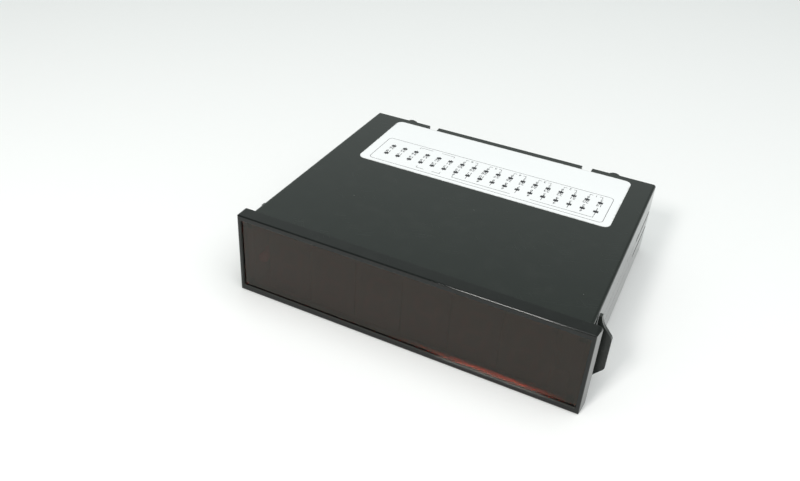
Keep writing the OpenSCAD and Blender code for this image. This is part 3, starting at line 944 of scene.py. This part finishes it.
@dataclass
class LabelPrint:
    """What is printed on the label: plain terminal numbers with their marks and brackets.

    Lengths are in millimetres, and rows count from the label's front edge. The print reads from
    the rear, so its columns run from the label's right end, seen from the front, to its left one.

    Attributes:
        first: From the label's right end to the first column.
        border_ends: From the label's left and right ends to the border.
        border_rows: The rows of the border's front and rear lines.
        weights: The weights of one digit's inputs, in each of their two rows.
        stem_l: How far a mark's line stands out of its block.
    """

    columns: int = 18
    pitch: float = 3.79
    first: float = 5.21
    ink: float = 0.014
    line: float = 0.14
    border_ends: Span = (2.85, 2.25)
    border_rows: Span = (1.5, 16.1)
    border_r: float = 1.2
    mark_rows: Span = (6.4, 11.6)
    number_rows: Span = (7.95, 10.15)
    weight_rows: Span = (4.9, 13.25)
    weights: tuple[str, str] = ("14", "28")
    bracket_rows: Span = (3.1, 14.9)
    digit_row: float = 14.8
    text_size: float = 1.75
    weight_share: float = 0.9
    digit_share: float = 0.85
    mark_w: float = 1.4
    mark_d: float = 1.05
    stem_l: float = 0.4

    def __post_init__(self) -> None:
        """Finds the label's face and the digits, and picks the ink."""
        self.low, self.high = span_mm("label")
        self.digits = len(numbered("digit"))
        self.finish = PrintInk("label_ink")

    def column_x(self, column: float) -> float:
        """Returns the place of a column, counted from 0, across the label."""
        return self.high.x - self.first - column * self.pitch

    def at(self, x: float, row: float, turn: float = 0.0) -> Matrix:
        """Returns a place on the label's face, in metres."""
        place = Vector((x, self.low.y + row, self.high.z)) * MM
        return Matrix.Translation(place) @ Matrix.Rotation(turn, 4, "Z")

    def settle(self, piece: bpy.types.Object) -> None:
        """Inks a printed piece and lets it ride with the label."""
        Bench.settle(piece, "housing", self.finish, "label_film")

    def outline(self) -> None:
        """Prints the thin border round the terminal marks."""
        left = self.low.x + self.border_ends[0]
        right = self.high.x - self.border_ends[1]
        front, rear = self.border_rows
        ring = Bench.flat("print_frame", right - left, rear - front)
        Bench.pick(ring, lambda place: True)
        bpy.ops.mesh.bevel(offset=self.border_r * MM, segments=6, affect="VERTICES")
        bpy.ops.mesh.select_mode(type="FACE")
        bpy.ops.mesh.select_all(action="SELECT")
        bpy.ops.mesh.inset(thickness=self.line * MM, depth=0.0)
        bpy.ops.mesh.delete(type="FACE")
        Bench.thicken(ring, self.ink)
        ring.data.transform(self.at((left + right) / 2, (front + rear) / 2))
        self.settle(ring)

    def marks(self) -> None:
        """Prints a terminal mark, a block with a short line through it, at every contact."""
        mark = Bench.flat("print_marks", self.mark_w, self.mark_d)
        Bench.pick(mark, lambda place: True)
        bpy.ops.mesh.subdivide(number_cuts=2)
        middle_w, stem_w = self.mark_w / 3, 2 * self.line
        Bench.pick(mark, lambda place: abs(place.x) < middle_w)
        bpy.ops.transform.resize(value=(stem_w / middle_w, 1.0, 1.0))
        for side in (-1, 1):
            edge = side * self.mark_d / 2
            Bench.pick(mark, lambda place: abs(place.x) < middle_w and abs(place.y - edge) < NEAR)
            bpy.ops.mesh.extrude_region_move(
                TRANSFORM_OT_translate={"value": (0.0, side * self.stem_l * MM, 0.0)})
        Bench.thicken(mark, self.ink)
        places = [self.at(self.column_x(column), row)
                  for row in self.mark_rows for column in range(self.columns)]
        self.settle(Bench.copies(mark, places))

    def words(self, name: str, entries: Sequence[tuple[str, float, float, float]]) -> None:
        """Prints a set of numbers.

        Args:
            name: The piece's name.
            entries: Each number as text, with its place across, its row and its size.
        """
        pieces = []
        for text, x, row, size in entries:
            Bench.clear()
            bpy.ops.object.text_add()
            word = bpy.context.object
            word.data.body = text
            word.data.size = size * MM
            word.data.extrude = self.ink / 2 * MM
            word.data.resolution_u = 3
            word.data.align_x = "CENTER"
            word.data.align_y = "CENTER"
            bpy.ops.object.convert(target="MESH")
            word.data.transform(self.at(x, row, math.pi))
            word.data.transform(Matrix.Translation((0.0, 0.0, self.ink / 2 * MM)))
            pieces.append(word)
        Bench.hold(*pieces)
        bpy.ops.object.join()
        pieces[0].name = name
        self.settle(pieces[0])

    def numbers(self) -> None:
        """Prints the terminal numbers and the small weights beside the marks."""
        size = self.text_size
        terminals = [(str(1 + column + face * self.columns), self.column_x(column), row, size)
                     for face, row in enumerate(self.number_rows) for column in range(self.columns)]
        self.words("print_terminal_numbers", terminals)
        weights = [(text, self.column_x(column), row, size * self.weight_share)
                   for row, pair in zip(self.weight_rows, self.weights)
                   for column, text in enumerate(pair * self.digits)]
        weights += [(str(1 + digit), self.column_x(2 * digit + 0.5), self.digit_row,
                     size * self.digit_share) for digit in range(self.digits)]
        self.words("print_weights", weights)

    def bracket(self, shape: Bracket) -> list[bpy.types.Object]:
        """Models a bracket.

        Args:
            shape: Its place and form.

        Returns:
            Its two lines with their ticks.
        """
        halves = []
        reach = (shape.last - shape.first) * self.pitch / 2
        middle = self.column_x((shape.first + shape.last) / 2)
        start = shape.gap / 2
        length = reach - start
        inner = reach - self.line - NEAR
        toward = math.copysign(self.line / 2, shape.tick)
        for side in (-1, 1):
            half = Bench.flat("bracket", length, self.line)
            Bench.pick(half, lambda place: True)
            bpy.ops.transform.translate(value=(side * (start + length / 2) * MM, 0.0, 0.0))
            bpy.ops.mesh.subdivide(number_cuts=1)
            Bench.pick(half, lambda place: start + NEAR < abs(place.x) < reach - NEAR)
            shift = side * (length / 2 - self.line) * MM
            bpy.ops.transform.translate(value=(shift, 0.0, 0.0))
            Bench.pick(half, lambda place: abs(place.x) > inner and abs(place.y - toward) < NEAR)
            bpy.ops.mesh.extrude_region_move(
                TRANSFORM_OT_translate={"value": (0.0, shape.tick * MM, 0.0)})
            Bench.thicken(half, self.ink)
            half.data.transform(self.at(middle, shape.row))
            halves.append(half)
        return halves

    def brackets(self) -> None:
        """Prints the brackets that gather the inputs, each digit's pair and the other terminals."""
        front, rear = self.bracket_rows
        inputs = 2 * self.digits
        shapes = [Bracket(0, inputs - 1, front, tick=0.9, gap=6.0),
                  Bracket(inputs, inputs + 2, front, tick=0.9, gap=2.6)]
        shapes += [Bracket(2 * digit, 2 * digit + 1, rear, tick=-0.7, gap=1.9)
                   for digit in range(self.digits)]
        shapes += [Bracket(inputs, inputs + 3, rear, tick=-0.7, gap=3.0)]
        lines = [half for shape in shapes for half in self.bracket(shape)]
        Bench.hold(*lines)
        bpy.ops.object.join()
        lines[0].name = "print_brackets"
        self.settle(lines[0])

    def build(self) -> None:
        """Dresses the label and prints on it."""
        dress("label", LabelFilm("label_white", low=tuple(self.low.xy), high=tuple(self.high.xy)))
        self.outline()
        self.marks()
        self.numbers()
        self.brackets()


@dataclass
class Display:
    """The filter, the digits behind it and the polarity lamp, with its length in millimetres."""

    lamp_l: float = 5.3

    def build(self) -> None:
        """Dresses the display."""
        dress("filter_window", TintedFilter("filter_dye"))
        for digit in numbered("digit"):
            dress(digit, DigitFace("digit_grey"))
        dress("digit_segments", SegmentResin("segment_red"))
        low, _ = span_mm("polarity_led")
        body = (low.y - PAST, low.y + self.lamp_l)
        dress("polarity_led", LeadedPart("lamp_red", Axis.REARWARD, body, resin=(0.9, 0.05, 0.03),
                                         resin_roughness=0.15, clear_coat=1.0))


@dataclass
class Electronics:
    """The two boards with what is soldered to them. Lengths are in millimetres.

    Attributes:
        tracks_l: How far in front of the contacts their tracks begin.
        wipe_l: How far behind the contacts' front the wipe marks begin.
        diode_band: From the diode's end to its band's two edges.
        can_l: From the ends of the capacitor's leads to its sleeve.
    """

    tracks_l: float = 8.4
    wipe_l: float = 2.6
    chip_w: float = 6.42
    network_pin_h: float = 0.8
    strip_w: float = 2.5
    diode_l: float = 5.2
    diode_band: Span = (1.1, 0.4)
    can_l: float = 1.8
    can_band: float = 1.6

    def middle(self, node: str, axis: Axis, length: float) -> Span:
        """Returns where a node's middle stretch of that length begins and ends."""
        centre = sum(corner[axis.value] for corner in span_mm(node)) / 2
        return centre - length / 2, centre + length / 2

    def chip(self, node: str, axis: Axis) -> None:
        """Dresses a chip whose pins stand out along that axis."""
        dress(node, LeadedPart(f"{node}_resin", axis, self.middle(node, axis, self.chip_w)))

    def network(self, node: str) -> None:
        """Dresses a resistor network.

        Args:
            node: The network's name.
        """
        low, high = span_mm(node)
        body = (low.z + self.network_pin_h, high.z + PAST)
        dress(node, LeadedPart("network_resin", Axis.UPWARD, body, resin=(0.42, 0.17, 0.05),
                               resin_roughness=0.2, clear_coat=0.4))

    def boards(self) -> None:
        """Dresses the two boards, their contacts and the header that joins them."""
        contacts, _ = span_mm("edge_contacts")
        board = CircuitBoard("board_green", contacts_y=contacts.y - self.tracks_l)
        dress("display_board", board)
        dress("main_board", board)
        dress("edge_contacts", GoldPlate("contact_gold_plate", wipe_y=contacts.y + self.wipe_l))
        _, header = span_mm("board_link_header")
        strip = (header.y - self.strip_w, header.y)
        dress("board_link_header", LeadedPart("header_black", Axis.REARWARD, strip,
                                              lead=(0.75, 0.55, 0.22)))

    def supply(self) -> None:
        """Dresses the diode and the capacitor at the supply's input."""
        diode = self.middle("protection_diode", Axis.REARWARD, self.diode_l)
        ring = (diode[1] - self.diode_band[0], diode[1] - self.diode_band[1])
        dress("protection_diode", LeadedPart("diode_black", Axis.REARWARD, diode, band=ring))
        low, high = span_mm("supply_capacitor")
        can = (low.y + self.can_l, high.y + PAST)
        stripe = (high.x - self.can_band, high.x + PAST)
        dress("supply_capacitor", LeadedPart("capacitor_sleeve", Axis.REARWARD, can,
              resin=(0.02, 0.035, 0.12), resin_roughness=0.25, band=stripe,
              band_axis=Axis.ACROSS, band_colour=(0.55, 0.57, 0.6)))

    def build(self) -> None:
        """Dresses the boards and their parts."""
        self.boards()
        for chip in numbered("decoder_chip"):
            self.chip(chip, Axis.ACROSS)
        for network in numbered("segment_resistors") + numbered("input_resistors"):
            self.network(network)
        self.chip("point_driver_chip", Axis.REARWARD)
        self.supply()


# ---- the studio


@dataclass(frozen=True)
class Lamp:
    """A soft rectangular lamp that faces its target. Lengths are in millimetres."""

    name: str
    place: Place
    size: Span
    power: float
    target: Place = (0.0, 30.0, 0.0)
    colour: Colour = (1.0, 1.0, 1.0)

    def hang(self) -> None:
        """Hangs the lamp in its place."""
        data = bpy.data.lights.new(self.name, "AREA")
        data.shape = "RECTANGLE"
        data.size, data.size_y = (side * MM for side in self.size)
        data.energy = self.power
        data.color = self.colour
        light = bpy.data.objects.new(self.name, data)
        bpy.context.scene.collection.objects.link(light)
        place, target = Vector(self.place) * MM, Vector(self.target) * MM
        turn = (target - place).to_track_quat("-Z", "Y")
        light.matrix_world = Matrix.Translation(place) @ turn.to_matrix().to_4x4()


@dataclass
class Studio:
    """The ground, the light and the camera. Lengths are in millimetres, angles in degrees.

    Attributes:
        azimuth: How far to the right of the meter's front the camera stands.
        elevation: How far down it looks.
        roll: How far it is turned about its own view.
        reach: The nearest and farthest that it sees.
    """

    camera_place: Place = (61.41, -143.13, 124.29)
    azimuth: float = 24.77
    elevation: float = 32.47
    roll: float = 3.41
    lens: float = 35.64
    shift: Span = (0.0080, -0.0321)
    reach: Span = (5.0, 20000.0)
    ground_size: float = 6000.0
    sky: Colour = (0.91, 1.0, 0.97)
    sky_strength: float = 0.38
    lamps: tuple[Lamp, ...] = (
        Lamp("key", place=(-87.0, -435.0, 403.0), size=(104.0, 130.0), power=1.7,
             target=(27.0, -2.0, -10.0), colour=(1.0, 0.98, 0.95)),
        Lamp("overhead", place=(300.0, -100.0, 900.0), size=(1000.0, 1000.0), power=6.8),
        Lamp("rear", place=(-1100.0, 2400.0, 1000.0), size=(3000.0, 2000.0), power=6.0,
             colour=(0.92, 1.0, 0.97)),
    )

    def camera(self) -> None:
        """Sets up the camera in front of the meter, to its right and above it."""
        data = bpy.data.cameras.new("camera")
        data.lens = self.lens
        data.shift_x, data.shift_y = self.shift
        data.clip_start, data.clip_end = (distance * MM for distance in self.reach)
        camera = bpy.data.objects.new("camera", data)
        bpy.context.scene.collection.objects.link(camera)
        azimuth, elevation = math.radians(self.azimuth), math.radians(self.elevation)
        back = Vector((math.sin(azimuth) * math.cos(elevation),
                       -math.cos(azimuth) * math.cos(elevation), math.sin(elevation)))
        right = Vector((0, 0, 1)).cross(back).normalized()
        up = back.cross(right)
        turn = Matrix((right, up, back)).transposed().to_4x4()
        roll = Matrix.Rotation(math.radians(self.roll), 4, "Z")
        camera.matrix_world = Matrix.Translation(Vector(self.camera_place) * MM) @ turn @ roll
        bpy.context.scene.camera = camera

    def ground(self) -> None:
        """Lays the ground under the bezel's lower edge and the lower rear edge of the case."""
        bezel_low, bezel_high = span_mm("case")
        case_top = span_mm("label")[0].z
        case_end = span_mm("rear_cover")[1].y
        Bench.clear()
        bpy.ops.mesh.primitive_plane_add(size=self.ground_size * MM)
        ground = bpy.context.object
        ground.name = "ground"
        tilt = math.atan2(bezel_high.z - case_top, case_end)
        level = Matrix.Translation((0, 0, bezel_low.z * MM))
        ground.data.transform(level @ Matrix.Rotation(tilt, 4, "X"))
        ground.data.materials.append(StudioPaper("studio_paper").material())

    def daylight(self) -> None:
        """Lights the scene evenly from all round."""
        world = bpy.data.worlds.new("studio")
        bpy.context.scene.world = world
        world.use_nodes = True
        background = world.node_tree.nodes["Background"]
        background.inputs["Color"].default_value = (*self.sky, 1.0)
        background.inputs["Strength"].default_value = self.sky_strength
        bpy.context.scene.view_settings.view_transform = "Standard"

    def build(self) -> None:
        """Sets the stage."""
        self.camera()
        self.ground()
        self.daylight()
        for lamp in self.lamps:
            lamp.hang()


def main() -> None:
    """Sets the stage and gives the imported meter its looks."""
    logging.basicConfig(level=logging.INFO, format="%(message)s")
    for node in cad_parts:
        shade_by_angle(node)
    Studio().build()
    for assembly in (Housing(), LabelPrint(), Display(), Electronics()):
        assembly.build()
        LOG.info("%s is complete", type(assembly).__name__)
    Bench.clear()


if __name__ == "__main__":
    main()
